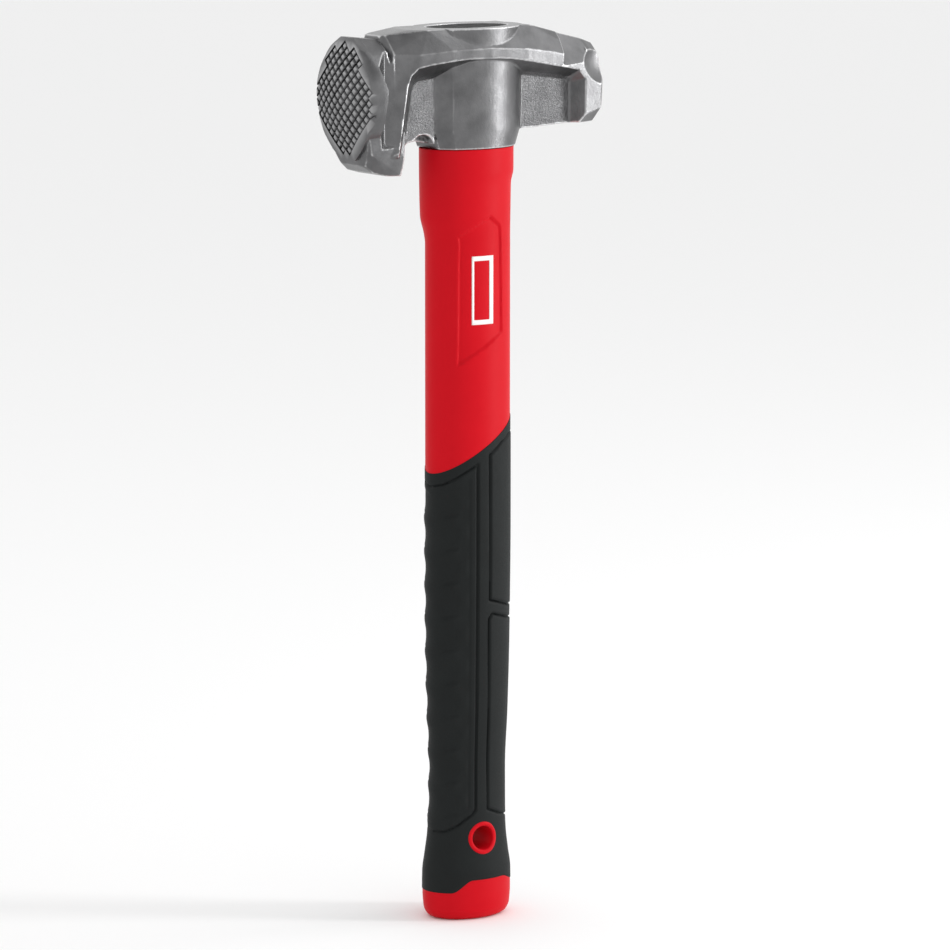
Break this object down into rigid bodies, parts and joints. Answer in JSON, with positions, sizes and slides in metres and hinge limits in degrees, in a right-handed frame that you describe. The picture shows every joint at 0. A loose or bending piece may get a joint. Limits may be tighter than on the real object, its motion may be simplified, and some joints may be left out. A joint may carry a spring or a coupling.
{
  "type": "lump hammer",
  "caption": "Lump hammer: forged steel head with a milled strike face and a smooth poll, oval moulded handle with a soft grip and a lanyard hole.",
  "frame": {"origin": "centre of the flat butt end, on the handle's axis", "axes": "+Z along the handle to the head; -X towards the milled strike face, +X towards the smooth poll; the object is symmetric in Y"},
  "size_m": [0.1264, 0.042, 0.381],
  "materials": {
    "forged_steel": "forged steel, clear lacquered, cast-grain panels and ground faces",
    "fibreglass": "pultruded glass fibre in resin",
    "epoxy": "cast dark bonding resin",
    "red_moulding": "red satin moulding",
    "black_grip": "black soft-touch moulding, fine matt grain"
  },
  "bodies": {
    "root": {"hammer_head": "forged_steel", "fibreglass_core": "fibreglass", "eye_epoxy": "epoxy", "handle_jacket": "red_moulding", "grip_sleeve": "black_grip"}
  },
  "joints": []
}
